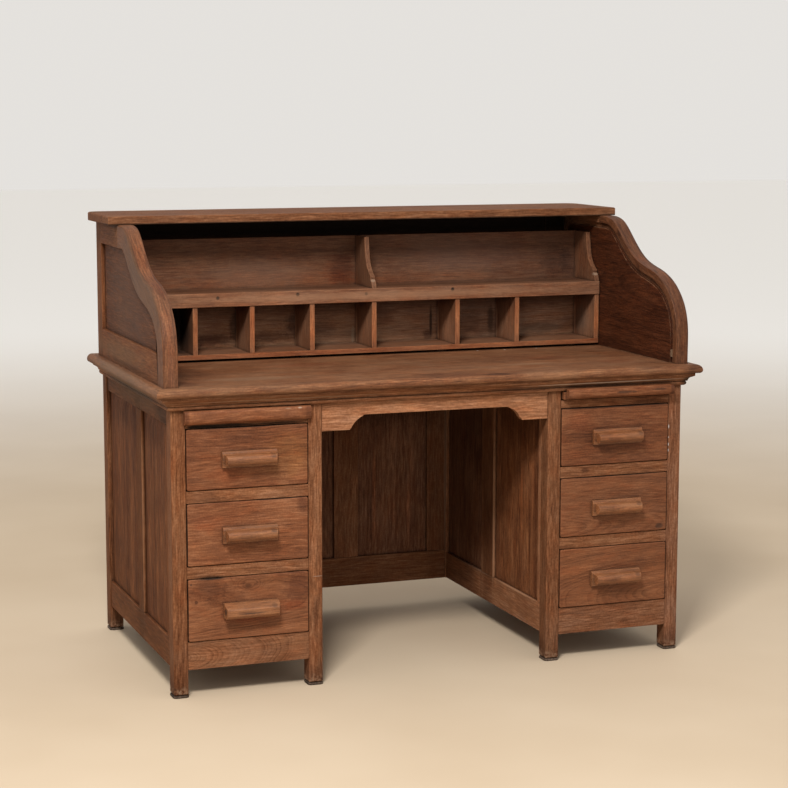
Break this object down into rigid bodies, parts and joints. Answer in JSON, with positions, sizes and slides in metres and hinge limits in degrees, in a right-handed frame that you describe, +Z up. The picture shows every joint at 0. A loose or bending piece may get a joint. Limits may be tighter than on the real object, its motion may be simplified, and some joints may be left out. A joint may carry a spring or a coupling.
{
  "type": "captains desk",
  "caption": "Wooden pedestal desk with scrolled gables, pigeonhole gallery, panelled kneehole, bar-pull drawers and pull-out writing slides, open where a roll curtain would run.",
  "frame": {"origin": "centre of the desk's footprint on the floor", "axes": "+X to the sitter's right along the desk's width, +Y from the sitter towards the back, +Z up"},
  "size_m": [1.486, 0.8, 1.173],
  "materials": {
    "desktop_wood": "matte, worn and stained",
    "drawer_wood": "satin, worn edges",
    "foot_dark": "matte, scuffed",
    "frame_wood": "satin, worn",
    "gallery_wood": "satin",
    "interior_wood": "matte, unfinished",
    "lining_wood": "satin, darker",
    "pale_wood": "matte",
    "panel_wood": "satin, aged",
    "pull_wood": "satin, handled"
  },
  "bodies": {
    "carcase": {"left_outer_front_post": "frame_wood", "left_inner_front_post": "frame_wood", "left_rear_posts": "frame_wood", "left_side_frames": "frame_wood", "left_side_panels": "panel_wood", "left_front_rails": "frame_wood", "left_drawer_runners": "interior_wood", "left_pedestal_back": "panel_wood", "left_gable_scroll_stile": "frame_wood", "left_gable_rails": "frame_wood", "left_gable_panel": "panel_wood", "right_outer_front_post": "frame_wood", "right_inner_front_post": "frame_wood", "right_rear_posts": "frame_wood", "right_side_frames": "frame_wood", "right_side_panels": "panel_wood", "right_front_rails": "frame_wood", "right_drawer_runners": "interior_wood", "right_pedestal_back": "panel_wood", "right_gable_scroll_stile": "frame_wood", "right_gable_rails": "frame_wood", "right_gable_panel": "panel_wood", "kneehole_apron": "frame_wood", "kneehole_back_frame": "frame_wood", "kneehole_back_panels": "panel_wood", "foot_glides": "foot_dark", "desktop_board": "desktop_wood", "desktop_edge_bands": "desktop_wood", "bed_moulding": "frame_wood", "gable_linings": "lining_wood", "curtain_track_stops": "pale_wood", "top_board": "frame_wood", "gallery_back": "gallery_wood", "gallery_base": "gallery_wood", "gallery_fascia": "gallery_wood", "gallery_shelf": "gallery_wood", "gallery_dividers": "gallery_wood", "gallery_brackets": "gallery_wood", "upper_case_back": "panel_wood"},
    "left_upper_drawer": {"left_upper_drawer_front": "drawer_wood", "left_upper_drawer_box": "interior_wood", "left_upper_drawer_pull": "pull_wood"},
    "left_middle_drawer": {"left_middle_drawer_front": "drawer_wood", "left_middle_drawer_box": "interior_wood", "left_middle_drawer_pull": "pull_wood"},
    "left_lower_drawer": {"left_lower_drawer_front": "drawer_wood", "left_lower_drawer_box": "interior_wood", "left_lower_drawer_pull": "pull_wood"},
    "left_writing_slide": {"left_writing_slide": "drawer_wood"},
    "right_upper_drawer": {"right_upper_drawer_front": "drawer_wood", "right_upper_drawer_box": "interior_wood", "right_upper_drawer_pull": "pull_wood"},
    "right_middle_drawer": {"right_middle_drawer_front": "drawer_wood", "right_middle_drawer_box": "interior_wood", "right_middle_drawer_pull": "pull_wood"},
    "right_lower_drawer": {"right_lower_drawer_front": "drawer_wood", "right_lower_drawer_box": "interior_wood", "right_lower_drawer_pull": "pull_wood"},
    "right_writing_slide": {"right_writing_slide": "drawer_wood"}
  },
  "joints": [
    {"name": "left_upper_drawer_slide", "type": "slide", "parent": "carcase", "child": "left_upper_drawer", "axis": [0, -1, 0], "range_m": [0, 0.5]},
    {"name": "left_middle_drawer_slide", "type": "slide", "parent": "carcase", "child": "left_middle_drawer", "axis": [0, -1, 0], "range_m": [0, 0.5]},
    {"name": "left_lower_drawer_slide", "type": "slide", "parent": "carcase", "child": "left_lower_drawer", "axis": [0, -1, 0], "range_m": [0, 0.5]},
    {"name": "left_writing_slide_pull_out", "type": "slide", "parent": "carcase", "child": "left_writing_slide", "axis": [0, -1, 0], "range_m": [0, 0.4]},
    {"name": "right_upper_drawer_slide", "type": "slide", "parent": "carcase", "child": "right_upper_drawer", "axis": [0, -1, 0], "range_m": [0, 0.5]},
    {"name": "right_middle_drawer_slide", "type": "slide", "parent": "carcase", "child": "right_middle_drawer", "axis": [0, -1, 0], "range_m": [0, 0.5]},
    {"name": "right_lower_drawer_slide", "type": "slide", "parent": "carcase", "child": "right_lower_drawer", "axis": [0, -1, 0], "range_m": [0, 0.5]},
    {"name": "right_writing_slide_pull_out", "type": "slide", "parent": "carcase", "child": "right_writing_slide", "axis": [0, -1, 0], "range_m": [0, 0.4]}
  ]
}
